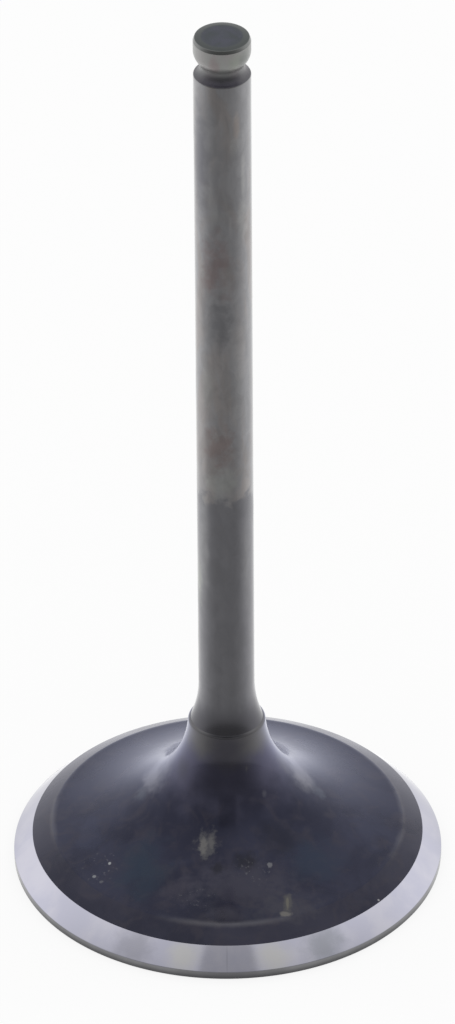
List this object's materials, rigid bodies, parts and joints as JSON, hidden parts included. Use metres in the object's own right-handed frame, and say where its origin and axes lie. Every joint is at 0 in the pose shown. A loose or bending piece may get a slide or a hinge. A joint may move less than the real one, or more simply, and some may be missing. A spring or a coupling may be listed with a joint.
{
  "type": "engine valve",
  "caption": "Poppet intake valve with a flared head, ground seat, long straight stem and a round keeper groove near the tip.",
  "frame": {"origin": "centre of the flat combustion face, on which the valve stands", "axes": "+Z along the stem, from the combustion face to the tip; X and Y lie in the combustion face and are equivalent, because the valve is round"},
  "size_m": [0.0423, 0.0422, 0.0948],
  "materials": {
    "valve_steel": "dark nitrided steel with a satin stem, a smooth blue-black head back and a bright ground seat ring"
  },
  "bodies": {
    "root": {"valve": "valve_steel"}
  },
  "joints": []
}
